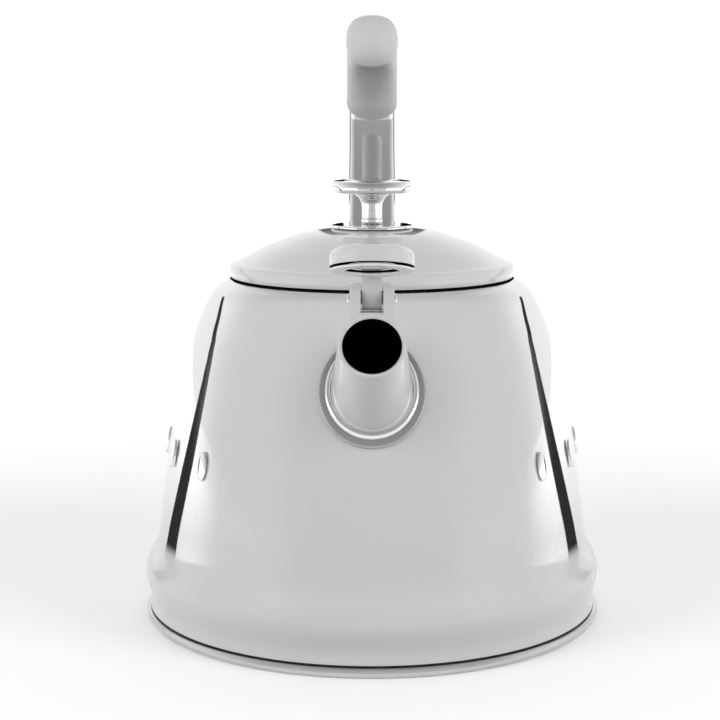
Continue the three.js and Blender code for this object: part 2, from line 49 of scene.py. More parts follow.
GAP = 0.35  # between pieces that touch on a real kettle
WALL = 1.2
BODY_OUTLINE = [  # (radius, height), from the foot to the mouth
    (98.2, 4.7), (97.9, 10), (99.8, 18.5), (98.6, 25.2), (94.4, 34), (91.9, 52),
    (88.6, 75), (84.2, 100), (79, 121), (73.1, 135), (68, 142.8), (61.6, 147),
]
MOUTH_TOP = 147
MOUTH_RADIUS = 61.6
FLOOR_BOTTOM = 4.3
BOLT_HEIGHTS = (100.5, 115.5)
BOLT_HOLE_RADIUS = 2.35
STUD_ANGLES = (51, 70, 89, 108)  # from the spout, to each side
STUD_HEIGHT = 75
STUD_HALF_HEIGHT = 6
STUD_HALF_WIDTH = 2.6
LID_OUTLINE = [
    (61.2, 148), (62.1, 150.4), (60.8, 153.6), (58.6, 154.4),
    (54.9, 156.1), (44.7, 161.2), (30, 166.3), (17, 168.3),
]
KNOB_RADIUS = 17.9
KNOB_BOTTOM = 183.3
KNOB_TOP = 189.4

SPOUT_LIFT = math.radians(32)
SPOUT_ROOT = Vector((0, -81.84, 110.55))
SPOUT_LENGTH = 45
SPOUT_ROOT_RADIUS = 16.3
SPOUT_MOUTH_RADIUS = 12.5
SPOUT_BORE_RADIUS = 11.06
FLANGE_RADIUS = 21

HINGE = Vector((0, -102.5, 149.5))
PIN_HOLE_RADIUS = 2.1
CAP_TILT = math.radians(-13.8)
CAP_RADIUS = 15.5
CAP_HINGE_BACK = 22.09
CAP_HINGE_DOWN = 7.2
CAP_SCREW_HEIGHT = 4.4
CAP_SCREW_HOLE_RADIUS = 1.3
CAP_SHELL_BOTTOM = 1.7
CAP_TOP = 8.5
EAR_OUTSIDE = 8.35
EAR_RADIUS = 6.1
SLOT_HALF = 4.15

FOOT_HEIGHTS = (96, 109, 121)
FOOT_OFF_WALL = 5.9
STEM_HALF_WIDTH = 12.1
STEM_TAPER = 1.2
STEM_HALF_THICKNESS = 3.5
STEM_CORNER = 3.3
TANG_HALF_WIDTH = 6
TANG_HALF_THICKNESS = 2.5
GRIP_BACK_WIDTH = 25
GRIP_FRONT_WIDTH = 21.8
GRIP_HEIGHT = 21.4
HANDLE_LINE = [  # (y, height), from above the foot to the grip's free end
    (86.6, 138), (94, 157), (101.5, 178), (107, 197), (109.5, 213), (106.5, 229), (95, 243), (75, 248.6),
    (40, 249.6), (15, 248.6), (-12, 247.2),
]

# ------------------------------------------------------------------ camera and studio

EYE = Vector((0, -727.3, 223.9))  # where the camera stands


def add_camera():
    data = bpy.data.cameras.new("camera")
    data.lens = 83.94
    data.sensor_width = 36
    data.shift_x = -1 / 60
    camera = bpy.data.objects.new("camera", data)
    camera.location = EYE * MM
    camera.rotation_euler = (math.radians(90 - 8.875), 0, 0)
    bpy.context.scene.collection.objects.link(camera)
    bpy.context.scene.camera = camera


def add_area(name, place, target, size, power):
    data = bpy.data.lights.new(name, "AREA")
    data.shape = "RECTANGLE"
    data.size, data.size_y = size
    data.energy = power
    lamp = bpy.data.objects.new(name, data)
    lamp.location = place
    lamp.rotation_euler = (Vector(target) - Vector(place)).to_track_quat("-Z", "Y").to_euler()
    bpy.context.scene.collection.objects.link(lamp)
    return lamp


def world_ramp(nodes, links, value, given, wanted):
    """Maps one range of a direction's part to a range of brightness."""
    ramp = nodes.new("ShaderNodeMapRange")
    ramp.inputs["From Min"].default_value, ramp.inputs["From Max"].default_value = given
    ramp.inputs["To Min"].default_value, ramp.inputs["To Max"].default_value = wanted
    links.new(value, ramp.inputs["Value"])
    return ramp.outputs["Result"]


def add_world():
    """White to the camera. It lights the kettle from the sides and back more than from in front."""
    world = bpy.data.worlds.new("studio")
    bpy.context.scene.world = world
    world.use_nodes = True
    nodes, links = world.node_tree.nodes, world.node_tree.links
    nodes.clear()
    out = nodes.new("ShaderNodeOutputWorld")
    mix = nodes.new("ShaderNodeMixShader")
    seen = nodes.new("ShaderNodeBackground")
    seen.inputs["Color"].default_value = (1, 1, 1, 1)
    seen.inputs["Strength"].default_value = 1.05
    lighting = nodes.new("ShaderNodeBackground")
    lighting.inputs["Color"].default_value = (1, 1, 1, 1)
    path = nodes.new("ShaderNodeLightPath")
    coords = nodes.new("ShaderNodeTexCoord")
    split = nodes.new("ShaderNodeSeparateXYZ")
    links.new(coords.outputs["Generated"], split.inputs[0])
    around = world_ramp(nodes, links, split.outputs["Y"], (-0.9, 0.45), (0.36, 1.03))
    above = world_ramp(nodes, links, split.outputs["Z"], (0.35, 0.9), (1.0, 0.45))
    both = nodes.new("ShaderNodeMath")
    both.operation = "MULTIPLY"
    links.new(around, both.inputs[0])
    links.new(above, both.inputs[1])
    links.new(both.outputs[0], lighting.inputs["Strength"])
    links.new(path.outputs["Is Camera Ray"], mix.inputs[0])
    links.new(lighting.outputs[0], mix.inputs[1])
    links.new(seen.outputs[0], mix.inputs[2])
    links.new(mix.outputs[0], out.inputs["Surface"])


def floor_material():
    """Pale to the camera and in reflections, and darker in the soft light that it throws back."""
    material = bpy.data.materials.new("studio_floor")
    material.use_nodes = True
    nodes, links = material.node_tree.nodes, material.node_tree.links
    seen = nodes["Principled BSDF"]
    seen.inputs["Base Color"].default_value = (1.25, 1.25, 1.25, 1)
    seen.inputs["Roughness"].default_value = 0.7
    seen.inputs["Specular IOR Level"].default_value = 0
    seen.inputs["Emission Color"].default_value = (1, 1, 1, 1)
    glow = nodes.new("ShaderNodeMapRange")
    glow.inputs["From Min"].default_value = 0.25
    glow.inputs["From Max"].default_value = 1.1
    glow.inputs["To Min"].default_value = 0.04
    glow.inputs["To Max"].default_value = 0.6
    distance = nodes.new("ShaderNodeVectorMath")
    distance.operation = "LENGTH"
    coords = nodes.new("ShaderNodeTexCoord")
    links.new(coords.outputs["Object"], distance.inputs[0])
    links.new(distance.outputs["Value"], glow.inputs["Value"])
    links.new(glow.outputs["Result"], seen.inputs["Emission Strength"])
    thrown = nodes.new("ShaderNodeBsdfDiffuse")
    thrown.inputs["Color"].default_value = (0.55, 0.55, 0.55, 1)
    path = nodes.new("ShaderNodeLightPath")
    mirrored = nodes.new("ShaderNodeMath")
    mirrored.operation = "MAXIMUM"
    links.new(path.outputs["Is Camera Ray"], mirrored.inputs[0])
    links.new(path.outputs["Is Glossy Ray"], mirrored.inputs[1])
    mix = nodes.new("ShaderNodeMixShader")
    links.new(mirrored.outputs[0], mix.inputs[0])
    links.new(thrown.outputs[0], mix.inputs[1])
    links.new(seen.outputs[0], mix.inputs[2])
    links.new(mix.outputs[0], nodes["Material Output"].inputs["Surface"])
    return material


def add_studio():
    scene = bpy.context.scene
    scene.view_settings.view_transform = "Standard"
    add_world()
    mesh = bpy.data.meshes.new("studio_floor")
    corners = [(-8, -8, 0), (8, -8, 0), (8, 8, 0), (-8, 8, 0)]
    mesh.from_pydata(corners, [], [(0, 1, 2, 3)])
    floor = bpy.data.objects.new("studio_floor", mesh)
    floor.location.z = -0.0003
    scene.collection.objects.link(floor)
    mesh.materials.append(floor_material())
    middle = (0, 0, 0.12)
    for side, width in ((-1, 0.5), (1, 0.35)):
        place = (side * 1.2, -0.75, 0.55)
        add_area("fill", place, middle, (0.8, 1.1), 8.5).visible_glossy = False
        add_area("softbox", place, middle, (width, 1.1), 5.5 * width).visible_diffuse = False


# ------------------------------------------------------------------ outlines and curves


def spline(points, per_span=12):
    """A uniform Catmull-Rom curve through 2-D or 3-D points."""
    points = [Vector(p) for p in points]
    ends = [2 * points[0] - points[1], *points, 2 * points[-1] - points[-2]]
    curve = []
    for i in range(len(points) - 1):
        a, b, c, d = ends[i : i + 4]
        square, cube = 2 * a - 5 * b + 4 * c - d, 3 * b - a - 3 * c + d
        for step in range(per_span):
            t = step / per_span
            curve.append(0.5 * (2 * b + (c - a) * t + square * t**2 + cube * t**3))
    return [*curve, points[-1]]


def relaxed(curve, passes):
    """The same curve with small waves eased out, and its ends kept."""
    for _ in range(passes):
        inner = [(a + 2 * b + c) / 4 for a, b, c in zip(curve, curve[1:], curve[2:])]
        curve = [curve[0], *inner, curve[-1]]
    return curve


def evenly(curve, count):
    """count + 1 points, equally far apart along a curve."""
    marks = [0.0]
    for a, b in zip(curve, curve[1:]):
        marks.append(marks[-1] + (b - a).length)
    result, i = [], 0
    for step in range(count + 1):
        want = marks[-1] * step / count
        while i < len(curve) - 2 and marks[i + 1] < want:
            i += 1
        result.append(curve[i].lerp(curve[i + 1], (want - marks[i]) / (marks[i + 1] - marks[i])))
    return result


def rounded(corners, steps=5):
    """Corners of (x, y) or (x, y, radius), where a corner with a radius becomes an arc."""
    result = []
    for i, corner in enumerate(corners):
        here = Vector(corner[:2])
        if len(corner) < 3:
            result.append(here)
            continue
        before = (Vector(corners[i - 1][:2]) - here).normalized()
        after = (Vector(corners[(i + 1) % len(corners)][:2]) - here).normalized()
        half = before.angle(after) / 2
        centre = here + (before + after).normalized() * corner[2] / math.sin(half)
        start = here + before * corner[2] / math.tan(half)
        end = here + after * corner[2] / math.tan(half)
        for step in range(steps + 1):
            spoke = (start - centre).lerp(end - centre, step / steps)
            result.append(centre + spoke.normalized() * corner[2])
    return result


def arc(centre, radius, first, last, steps):
    """Points on an arc, its angles in degrees."""
    angles = [math.radians(first + (last - first) * i / steps) for i in range(steps + 1)]
    return [Vector((centre[0] + radius * math.cos(a), centre[1] + radius * math.sin(a))) for a in angles]


def inside_of(outline, thickness):
    """An outline moved inwards by a wall, in reverse order."""
    result = []
    for i, point in enumerate(outline):
        along = outline[min(i + 1, len(outline) - 1)] - outline[max(i - 1, 0)]
        result.append(point + Vector((-along.y, along.x)).normalized() * thickness)
    return result[::-1]


# ------------------------------------------------------------------ meshes

SHARP = math.radians(38)  # edges that turn more than this stay hard


def bridge(bm, low, high):
    """Faces between two rings, either of which may be a single point."""
    count = max(len(low), len(high))
    for i in range(count):
        j = (i + 1) % count
        if len(low) == 1:
            bm.faces.new((low[0], high[j], high[i]))
        elif len(high) == 1:
            bm.faces.new((low[i], low[j], high[0]))
        else:
            bm.faces.new((low[i], low[j], high[j], high[i]))


def as_object(bm, name, place=None):
    """Makes an object in metres of a bmesh in millimetres, with its edges sharp where they turn hard."""
    if place:
        bm.transform(place)
    bm.transform(Matrix.Scale(MM, 4))
    bmesh.ops.recalc_face_normals(bm, faces=bm.faces)
    soften(bm)
    mesh = bpy.data.meshes.new(name)
    bm.to_mesh(mesh)
    bm.free()
    obj = bpy.data.objects.new(name, mesh)
    bpy.context.scene.collection.objects.link(obj)
    return obj


def soften(bm):
    for face in bm.faces:
        face.smooth = True
    for edge in bm.edges:
        edge.smooth = len(edge.link_faces) == 2 and edge.calc_face_angle(0) < SHARP


def turned(name, outline, segments=128, place=None):
    """Turns an outline of (radius, height) about Z. It ends on the axis, or closes on itself."""
    bm = bmesh.new()
    rings = []
    for radius, height in outline:
        if radius < 1e-6:
            rings.append([bm.verts.new((0, 0, height))])
            continue
        angles = [2 * math.pi * i / segments for i in range(segments)]
        rings.append([bm.verts.new((radius * math.cos(a), radius * math.sin(a), height)) for a in angles])
    for low, high in zip(rings, rings[1:]):
        bridge(bm, low, high)
    if len(rings[0]) > 1:
        bridge(bm, rings[-1], rings[0])
    return as_object(bm, name, place)


def slab(name, outline, width, place=None):
    """A closed outline of (y, z) made into a plate across X, centred on x = 0."""
    bm = bmesh.new()
    left = [bm.verts.new((-width / 2, y, z)) for y, z in outline]
    right = [bm.verts.new((width / 2, y, z)) for y, z in outline]
    bridge(bm, left, right)
    bm.faces.new(left)
    bm.faces.new(right[::-1])
    return as_object(bm, name, place)


def lofted(name, rings, closed_loop=False):
    """A skin over rings of points that starts and ends in a point, or closes on itself."""
    bm = bmesh.new()
    made = [[bm.verts.new(point) for point in ring] for ring in rings]
    for low, high in zip(made, made[1:]):
        bridge(bm, low, high)
    if closed_loop:
        bridge(bm, made[-1], made[0])
    return as_object(bm, name)


def applied(obj):
    """Bakes the object's modifiers into its mesh."""
    shape = obj.evaluated_get(bpy.context.evaluated_depsgraph_get())
    mesh = bpy.data.meshes.new_from_object(shape)
    obj.modifiers.clear()
    obj.data = mesh
    bm = bmesh.new()
    bm.from_mesh(mesh)
    soften(bm)
    bm.to_mesh(mesh)
    bm.free()
    return obj


def cut(obj, *cutters):
    for cutter in cutters:
        tool = obj.modifiers.new("cut", "BOOLEAN")
        tool.operation = "DIFFERENCE"
        tool.solver = "EXACT"
        tool.object = cutter
    bpy.context.view_layer.update()
    applied(obj)
    for cutter in cutters:
        bpy.data.objects.remove(cutter)
    return obj


def bevelled(obj, width, segments=3):
    bevel = obj.modifiers.new("bevel", "BEVEL")
    bevel.width = width * MM
    bevel.segments = segments
    bevel.limit_method = "ANGLE"
    bevel.angle_limit = math.radians(40)
    bevel.use_clamp_overlap = True
    bpy.context.view_layer.update()
    return applied(obj)


def paint_shade(obj, inside):
    """Paints shade: gives the painted-shade black to the faces for which inside(centre in millimetres,
    normal) is true.
    """
    obj.data.materials.append(finishes["painted_shade_black"])
    for face in obj.data.polygons:
        if inside(face.center / MM, face.normal):
            face.material_index = 1


def rod(name, radius, bottom, top, place=None, segments=48):
    return turned(name, [(0, bottom), (radius, bottom), (radius, top), (0, top)], segments, place)


# ------------------------------------------------------------------ places on the kettle

BODY_CURVE = evenly(relaxed(spline(BODY_OUTLINE), 6), 150)


def wall_radius(height):
    """Radius of the body's outside at a height."""
    for a, b in zip(BODY_CURVE, BODY_CURVE[1:]):
        if b.y >= height:
            return a.x + (b.x - a.x) * (height - a.y) / (b.y - a.y)
    return BODY_CURVE[-1].x


def wall_normal(height):
    """The wall's outward direction in the plane of radius and height."""
    return Vector((8, wall_radius(height - 4) - wall_radius(height + 4))).normalized()


def off_wall(x, height, away, side):
    """A point off the wall, on the spout's side (-1) or the handle's side (1)."""
    out, up = wall_normal(height)
    radius = wall_radius(height) + out * away
    return Vector((x, side * math.sqrt(radius**2 - x**2), height + up * away))


SPOUT_PLACE = Matrix.Translation(SPOUT_ROOT) @ Matrix.Rotation(math.pi / 2 - SPOUT_LIFT, 4, "X")
CAP_TURN = Matrix.Translation(HINGE) @ Matrix.Rotation(CAP_TILT, 4, "X")
CAP_PLACE = CAP_TURN @ Matrix.Translation((0, -CAP_HINGE_BACK, CAP_HINGE_DOWN))
ACROSS = Matrix.Rotation(math.pi / 2, 4, "Y")  # turns +Z to +X
ALONG = Matrix.Rotation(math.pi / 2, 4, "X")  # turns +Z to -Y


def through_back(height):
    """A place square to the back wall: zero at the wall's outside, +Z inwards."""
    out, up = wall_normal(height)
    turn = Matrix.Rotation(math.atan2(out, -up), 4, "X")
    return Matrix.Translation((0, wall_radius(height), height)) @ turn


def stands_for(piece, body, finish, *nodes):
    """Rides a finished piece on its body in place of its CAD nodes."""
    piece.data.materials.clear()
    piece.data.materials.append(finishes[finish])
    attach(piece, body)
    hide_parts(*nodes)
    return piece


# ------------------------------------------------------------------ cards in the studio

# Two black cards show on the wall as stripes, whose edges look straight from the camera.
# Foot, waist and top of a stripe: height, and both edges' angles from the spout.
STRIPE = ((55, 58.9, 65.5), (75, 56.5, 62.2), (141, 63.0, 65.2))
STRIPE_STEPS = 8  # from each of them to the next
CARD_DISTANCE = 200


def as_card(corners, faces, glow=0.0):
    """A card that the camera can't see: black, or an even grey that gives off its own light."""
    mesh = bpy.data.meshes.new("card")
    mesh.from_pydata([Vector(corner) * MM for corner in corners], [], faces)
    card = bpy.data.objects.new("card", mesh)
    bpy.context.scene.collection.objects.link(card)
    material = bpy.data.materials.new("card")
    material.use_nodes = True
    shader = material.node_tree.nodes["Principled BSDF"]
    shader.inputs["Base Color"].default_value = (0, 0, 0, 1)
    shader.inputs["Specular IOR Level"].default_value = 0
    shader.inputs["Emission Color"].default_value = (1, 1, 1, 1)
    shader.inputs["Emission Strength"].default_value = glow
    mesh.materials.append(material)
    card.visible_camera = False
    card.visible_shadow = False
    return card


def wall_point(height, ahead):
    """The wall's point at a height, in a level direction from the axis."""
    return wall_radius(height) * ahead + Vector((0, 0, height))


def level(angle, side=1):
    """The level direction at an angle from the spout, to the right (1) or the left (-1)."""
    turn = math.radians(angle)
    return Vector((side * math.sin(turn), -math.cos(turn), 0))


def edge_angle(height, low, high):
    """Where the plane through the camera and two of the wall's points crosses a height."""
    rays = [wall_point(z, level(angle)) - EYE for z, angle in (low, high)]
    plane = rays[0].cross(rays[1])
    sine = (plane.dot(EYE) - plane.z * height) / (plane.xy.length * wall_radius(height))
    return math.degrees(math.asin(sine) + math.atan2(plane.y, plane.x))


def bounced(side, height, angle):
    """Where the camera's ray ends, at the cards' distance, once the wall has reflected it."""
    out, up = wall_normal(height)
    ahead = level(angle, side)
    point = wall_point(height, ahead)
    normal = out * ahead + Vector((0, 0, up))
    ray = (point - EYE).normalized()
    return point + CARD_DISTANCE * (ray - 2 * ray.dot(normal) * normal)


def stripe_edges():
    """A stripe from foot to top: each step's height and both edges' angles there."""
    for (low, *starts), (high, *ends) in zip(STRIPE, STRIPE[1:]):
        for step in range(STRIPE_STEPS):
            height = low + (high - low) * step / STRIPE_STEPS
            edges = [((low, start), (high, end)) for start, end in zip(starts, ends)]
            yield height, *(edge_angle(height, *edge) for edge in edges)
    yield STRIPE[-1]


def add_stripe_card(side):
    """A black card cut to the shape that the wall reflects as a tapering stripe."""
    corners = [bounced(side, height, angle) for height, *angles in stripe_edges() for angle in angles]
    # The card runs on straight down to the floor.
    for near, far in ((0, 2), (1, 3)):
        drop = corners[near] - corners[far]
        corners[near] += drop * (corners[near].z - 1) / -drop.z
    faces = [(i, i + 1, i + 3, i + 2) for i in range(0, len(corners) - 2, 2)]
    as_card(corners, faces).visible_diffuse = False


def add_grip_shade():
    """A small black card in the hand gap that keeps soft light off the inside of the grip."""
    corners = [(-40, 54, 180), (40, 54, 180), (40, 80, 237), (-40, 80, 237)]
    as_card(corners, [(0, 1, 2, 3)]).visible_glossy = False


def add_stem_cards():
    """Two narrow black cards behind the stem, for a thin dark line down each of its round edges."""
    for side in (-1, 1):
        low = [(side * 14.5, 109, 174), (side * 29, 109, 174)]
        high = [(side * 29, 119, 222), (side * 14.5, 119, 222)]
        as_card(low + high, [(0, 1, 2, 3)]).visible_diffuse = False


def add_grey_card():
    """A wide grey card that lies in front of the kettle and stands up behind the camera."""
    near, far, top = -300, -950, 200
    low = [(-250, near, 2), (250, near, 2), (850, far, 2), (-850, far, 2)]
    card = as_card([*low, (850, far, top), (-850, far, top)], [(0, 1, 2, 3), (3, 2, 4, 5)], glow=0.6)
    card.visible_diffuse = False


# ------------------------------------------------------------------ materials


class Graph:
    """A material's node tree, with one method for each kind of node used here."""

    def __init__(self, name, colour, roughness, metallic=0.0):
        self.material = bpy.data.materials.new(name)
        self.material.use_nodes = True
        self.tree = self.material.node_tree
        self.shader = self.tree.nodes["Principled BSDF"]
        self.shader.inputs["Base Color"].default_value = (*colour, 1)
        self.shader.inputs["Roughness"].default_value = roughness
        self.shader.inputs["Metallic"].default_value = metallic
        self.place = self.tree.nodes.new("ShaderNodeTexCoord").outputs["Object"]

    def new(self, kind, **values):
        node = self.tree.nodes.new(kind)
        for key, value in values.items():
            setattr(node, key, value)
        return node

    def link(self, source, target):
        self.tree.links.new(source, target)

    def noise(self, scale, detail=2.0, vector=None):
        node = self.new("ShaderNodeTexNoise")
        node.inputs["Scale"].default_value = scale
        node.inputs["Detail"].default_value = detail
        self.link(vector or self.place, node.inputs["Vector"])
        return node.outputs["Fac"]

    def stretched(self, scales):
        """Coordinates scaled by different amounts along X, Y and Z."""
        node = self.new("ShaderNodeMapping")
        node.inputs["Scale"].default_value = scales
        self.link(self.place, node.inputs["Vector"])
        return node.outputs["Vector"]

    def turned(self):
        """Coordinates of (distance from Z, height), for marks that run round the axis."""
        split = self.new("ShaderNodeSeparateXYZ")
        self.link(self.place, split.inputs[0])
        flat = self.new("ShaderNodeCombineXYZ")
        self.link(split.outputs["X"], flat.inputs["X"])
        self.link(split.outputs["Y"], flat.inputs["Y"])
        length = self.new("ShaderNodeVectorMath", operation="LENGTH")
        self.link(flat.outputs[0], length.inputs[0])
        both = self.new("ShaderNodeCombineXYZ")
        self.link(length.outputs["Value"], both.inputs["X"])
        self.link(split.outputs["Z"], both.inputs["Y"])
        return both.outputs[0]

    def ranged(self, value, low, high, start=0.0, end=1.0):
        node = self.new("ShaderNodeMapRange")
        node.inputs["From Min"].default_value = start
        node.inputs["From Max"].default_value = end
        node.inputs["To Min"].default_value = low
        node.inputs["To Max"].default_value = high
        node.interpolation_type = "SMOOTHSTEP"
        self.link(value, node.inputs["Value"])
        return node.outputs["Result"]

    def bump(self, height, depth):
        node = self.new("ShaderNodeBump")
        node.inputs["Distance"].default_value = depth
        node.inputs["Strength"].default_value = 1.0
        self.link(height, node.inputs["Height"])
        self.link(node.outputs["Normal"], self.shader.inputs["Normal"])

    def vary(self, value, socket, low, high):
        self.link(self.ranged(value, low, high, 0.3, 0.7), self.shader.inputs[socket])

    def tint(self, value, dark, light):
        mix = self.new("ShaderNodeMix", data_type="RGBA")
        mix.inputs["A"].default_value = (*dark, 1)
        mix.inputs["B"].default_value = (*light, 1)
        self.link(self.ranged(value, 0, 1, 0.3, 0.7), mix.inputs["Factor"])
        self.link(mix.outputs["Result"], self.shader.inputs["Base Color"])


def enamel(name):
    """Glossy white enamel: a clear coat over white, with a faint orange peel."""
    graph = Graph(name, (0.72, 0.72, 0.735), 0.22)
    graph.shader.inputs["Coat Weight"].default_value = 1.0
    graph.shader.inputs["Coat Roughness"].default_value = 0.03
    graph.shader.inputs["Coat IOR"].default_value = 1.5
    graph.tint(graph.noise(14), (0.715, 0.715, 0.73), (0.725, 0.725, 0.74))
    graph.vary(graph.noise(60), "Roughness", 0.2, 0.25)
    graph.bump(graph.noise(420, 1.0), 0.000004)
    return graph


def body_enamel():
    """The same enamel, which turns to a mirror where the wall above the bulge is seen at a slant."""
    graph = enamel("body_enamel")
    graph.shader.inputs["Coat Weight"].default_value = 0.3
    graph.shader.inputs["Specular IOR Level"].default_value = 0.25
    mirror = graph.new("ShaderNodeBsdfPrincipled")
    mirror.inputs["Base Color"].default_value = (0.79, 0.79, 0.80, 1)
    mirror.inputs["Metallic"].default_value = 1.0
    mirror.inputs["Roughness"].default_value = 0.035
    slant = graph.new("ShaderNodeLayerWeight")
    slant.inputs["Blend"].default_value = 0.5
    split = graph.new("ShaderNodeSeparateXYZ")
    graph.link(graph.place, split.inputs[0])
    share = graph.new("ShaderNodeMath", operation="MULTIPLY")
    graph.link(graph.ranged(slant.outputs["Facing"], 0.0, 0.95, 0.3, 0.56), share.inputs[0])
    graph.link(graph.ranged(split.outputs["Z"], 0.0, 1.0, 0.0325, 0.038), share.inputs[1])
    mix = graph.new("ShaderNodeMixShader")
    graph.link(share.outputs[0], mix.inputs[0])
    graph.link(graph.shader.outputs[0], mix.inputs[1])
    graph.link(mirror.outputs[0], mix.inputs[2])
    graph.link(mix.outputs[0], graph.tree.nodes["Material Output"].inputs["Surface"])
    return graph


def chrome():
    graph = Graph("chrome", (0.88, 0.88, 0.89), 0.06, 1.0)
    graph.vary(graph.noise(90, 4.0), "Roughness", 0.045, 0.085)
    graph.bump(graph.noise(1, 2.0, graph.stretched((900, 900, 120))), 0.0000006)
    return graph


def spun_steel():
    """Steel brushed round the kettle's axis."""
    graph = Graph("spun_steel", (0.64, 0.64, 0.65), 0.2, 1.0)
    lines = graph.noise(2600, 3.0, graph.turned())
    graph.vary(lines, "Roughness", 0.16, 0.26)
    graph.tint(lines, (0.60, 0.60, 0.61), (0.68, 0.68, 0.69))
    graph.bump(lines, 0.0000015)
    return graph


def steel(name="steel", grey=0.58):
    graph = Graph(name, (grey, grey, grey + 0.01), 0.3, 1.0)
    grain = graph.noise(1, 3.0, graph.stretched((300, 2400, 2400)))
    graph.vary(grain, "Roughness", 0.27, 0.31)
    graph.bump(grain, 0.0000006)
    return graph


def aluminium():
    graph = Graph("aluminium", (0.62, 0.63, 0.64), 0.45, 1.0)
    grain = graph.noise(1500, 4.0)
    graph.vary(grain, "Roughness", 0.38, 0.55)
    graph.bump(grain, 0.00002)
    return graph


def grip_plastic():
    """Matt moulded plastic with a fine grain."""
    graph = Graph("grip_plastic", (0.70, 0.70, 0.705), 0.5)
    graph.tint(graph.noise(25), (0.695, 0.695, 0.70), (0.705, 0.705, 0.71))
    graph.vary(graph.noise(200), "Roughness", 0.44, 0.54)
    graph.bump(graph.noise(2400, 2.0), 0.000012)
    return graph


def cap_plastic(name="cap_plastic", white=0.74):
    graph = Graph(name, (white, white, white + 0.005), 0.2)
    graph.shader.inputs["Coat Weight"].default_value = 0.4
    graph.shader.inputs["Coat Roughness"].default_value = 0.06
    graph.vary(graph.noise(150), "Roughness", 0.17, 0.25)
    graph.bump(graph.noise(700, 1.0), 0.000004)
    return graph


def silicone():
    graph = Graph("silicone", (0.012, 0.012, 0.013), 0.55)
    graph.vary(graph.noise(300), "Roughness", 0.48, 0.64)
    graph.bump(graph.noise(1800, 2.0), 0.00001)
    return graph


def painted_shade_black():
    """Painted shade: flat black colour inside the spout and in the narrow gaps, standing in for the shade
    there.
    """
    graph = Graph("painted_shade_black", (0.002, 0.002, 0.002), 0.7)
    graph.shader.inputs["Specular IOR Level"].default_value = 0.05
    graph.vary(graph.noise(500), "Roughness", 0.65, 0.8)
    graph.bump(graph.noise(1200, 2.0), 0.00001)
    return graph


def make_finishes():
    makers = (chrome, spun_steel, steel, aluminium, grip_plastic, cap_plastic, silicone, painted_shade_black)
    made = {maker.__name__: maker().material for maker in makers}
    # Painted reflection and shade: a darker copy of the steel for the spout flange, standing in for the
    # grey that it reflects and the shade under it.
    made["painted_shade_flange_steel"] = steel("painted_shade_flange_steel", 0.44).material
    # Painted light: a lighter copy of the cap plastic for the cap ring, lightened to make up for the
    # shade on its downward face.
    made["painted_light_ring_plastic"] = cap_plastic("painted_light_ring_plastic", 0.93).material
    made["enamel"] = enamel("enamel").material
    made["body_enamel"] = body_enamel().material
    return made


# ------------------------------------------------------------------ body pieces


def add_body_shell():
    lip = arc((MOUTH_RADIUS - 1.1, MOUTH_TOP - 0.9), 1.0, 60, 170, 6)
    outside = [*BODY_CURVE, *lip]
    floor_top = FLOOR_BOTTOM + WALL
    inside = [p for p in inside_of(BODY_CURVE, WALL) if p.y > floor_top + 1.6]
    corner = arc((inside[-1].x - 1.6, floor_top + 1.6), 1.6, 0, -90, 5)
    outline = [(0, FLOOR_BOTTOM), (96.6, FLOOR_BOTTOM), *outside, *inside, *corner, (0, floor_top)]
    shell = turned("body_shell_fine", outline, 256)
    spout_hole = rod("spout_hole", SPOUT_ROOT_RADIUS + 0.6, -14, 14, SPOUT_PLACE, 96)
    holes = [rod("hole", BOLT_HOLE_RADIUS, -14, 14, through_back(height)) for height in BOLT_HEIGHTS]
    shell = cut(shell, spout_hole, *holes)
    stands_for(shell, BODY, "body_enamel", "body_shell")
    # Painted shade: the lip under the lid is coloured black for the shadow in the lid seam.
    paint_shade(shell, lambda spot, facing: spot.z > 146.3 and spot.xy.length < 61.5)


def add_base_pan():
    outline = rounded(
        [
            (0, 0),
            (99.2, 0, 1.0),
            (100, 1.8, 0.8),
            (99.5, 3.9, 0.5),
            (97.3, 3.9, 0.4),
            (96.8, 1.1, 0.4),
            (0, 1.1),
        ]
    )
    stands_for(turned("base_pan_fine", outline, 256), BODY, "spun_steel", "base_pan")


def add_neck_ring():
    outline = rounded(
        [
            (57.4, 133, 0.3),
            (58.4, 133, 0.3),
            (58.4, MOUTH_TOP + 0.4, 0.3),
            (60.1, MOUTH_TOP + 0.4, 0.25),
            (60.1, MOUTH_TOP + 1.1, 0.25),
            (57.4, MOUTH_TOP + 1.1, 0.6),
        ]
    )
    ring = turned("neck_ring_fine", outline, 192)
    stands_for(ring, BODY, "spun_steel", "neck_ring")
    # Painted shade: the ring's outer top edge is coloured black for the shadow in the lid seam.
    paint_shade(ring, lambda spot, facing: spot.xy.length > 59.5 and spot.z > MOUTH_TOP)


def add_stud(side, number, angle):
    """A plain oval stud that follows the wall, domed a little and rounded at its edge."""
    middle = math.radians(angle)
    rings = []
    for size, away in ((0.98, 0.35), (1.0, 0.5), (1.0, 0.95), (0.94, 1.2), (0.8, 1.3), (0.0, 1.34)):
        ring = []
        for step in range(48):
            turn = 2 * math.pi * step / 48
            height = STUD_HEIGHT + STUD_HALF_HEIGHT * size * math.sin(turn)
            out, up = wall_normal(height)
            radius = wall_radius(height) + out * away
            around = middle + STUD_HALF_WIDTH * size * math.cos(turn) / radius
            ring.append((radius * math.sin(around), -radius * math.cos(around), height + up * away))
        rings.append(ring if size else [Vector(map(sum, zip(*ring))) / len(ring)])
    base = [Vector(map(sum, zip(*rings[0]))) / len(rings[0])]
    stud = lofted(f"stud_{side}_{number}", [base, *rings])
    stands_for(stud, BODY, "chrome", f"side_stud_{side}_{number}")


